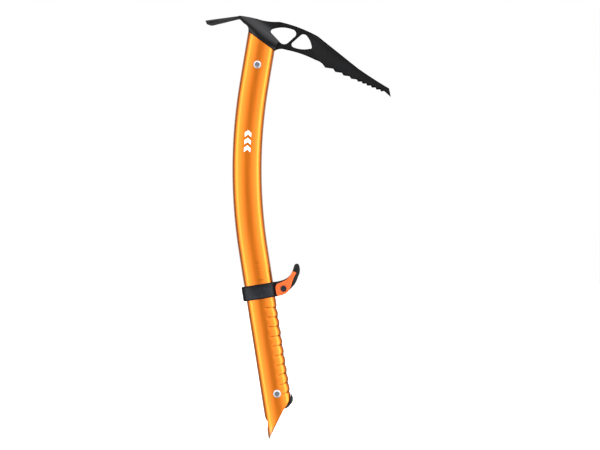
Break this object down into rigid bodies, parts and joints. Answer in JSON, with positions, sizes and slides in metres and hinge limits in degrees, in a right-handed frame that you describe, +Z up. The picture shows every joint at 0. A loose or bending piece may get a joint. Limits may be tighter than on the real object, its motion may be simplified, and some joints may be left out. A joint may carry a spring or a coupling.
{
  "type": "ice axe",
  "caption": "Short technical ice axe: bent oval shaft with pressed grip and bevelled foot, toothed pick, adze, and a hand rest that slides on the shaft and is locked by a cam trigger.",
  "frame": {"origin": "the point of the foot, the lowest point of the axe", "axes": "+X towards the pick's nose, +Y across the axe from the screw heads to the nuts, +Z up the axe"},
  "size_m": [0.1963, 0.0462, 0.4492],
  "materials": {
    "orange_anodised": "satin anodised",
    "black_steel": "satin black coating",
    "bright_steel": "polished",
    "dark_steel": "blackened",
    "black_plastic": "matt",
    "filler_plastic": "matt, glass-filled",
    "strap_rubber": "matt",
    "orange_plastic": "semi-matt",
    "washer_plastic": "smooth"
  },
  "bodies": {
    "axe": {"shaft": "orange_anodised", "pick": "black_steel", "adze": "black_steel", "head_filler_near": "filler_plastic", "head_filler_far": "filler_plastic", "tang_rivets": "bright_steel", "head_bolt": "bright_steel", "head_nut": "bright_steel", "foot_bolt": "bright_steel", "foot_nut": "bright_steel", "foot_plug": "black_plastic"},
    "hand_rest": {"strap": "strap_rubber", "lug_bushes": "bright_steel", "pivot_washers": "washer_plastic", "pivot_pin": "dark_steel", "pivot_nut": "dark_steel"},
    "shoe": {"brake_shoe": "black_plastic", "shoe_pad": "strap_rubber"},
    "trigger": {"trigger_lever": "orange_plastic", "trigger_overmold": "black_plastic"}
  },
  "joints": [
    {"name": "rest_slide", "type": "slide", "parent": "axe", "child": "hand_rest", "axis": [-0.1557, 0, 0.9878], "range_m": [-0.094, 0.028]},
    {"name": "trigger_turn", "type": "hinge", "parent": "hand_rest", "child": "trigger", "pos_m": [0.01579, 0, 0.15997], "axis": [0, 1, 0], "range_deg": [0, 95]},
    {"name": "shoe_release", "type": "slide", "parent": "hand_rest", "child": "shoe", "axis": [0.9878, 0, 0.1557], "range_m": [0, 0.0005]}
  ],
  "couplings": [
    {"joint": "shoe_release", "follows": "trigger_turn", "m_per_rad": 0.0003}
  ]
}
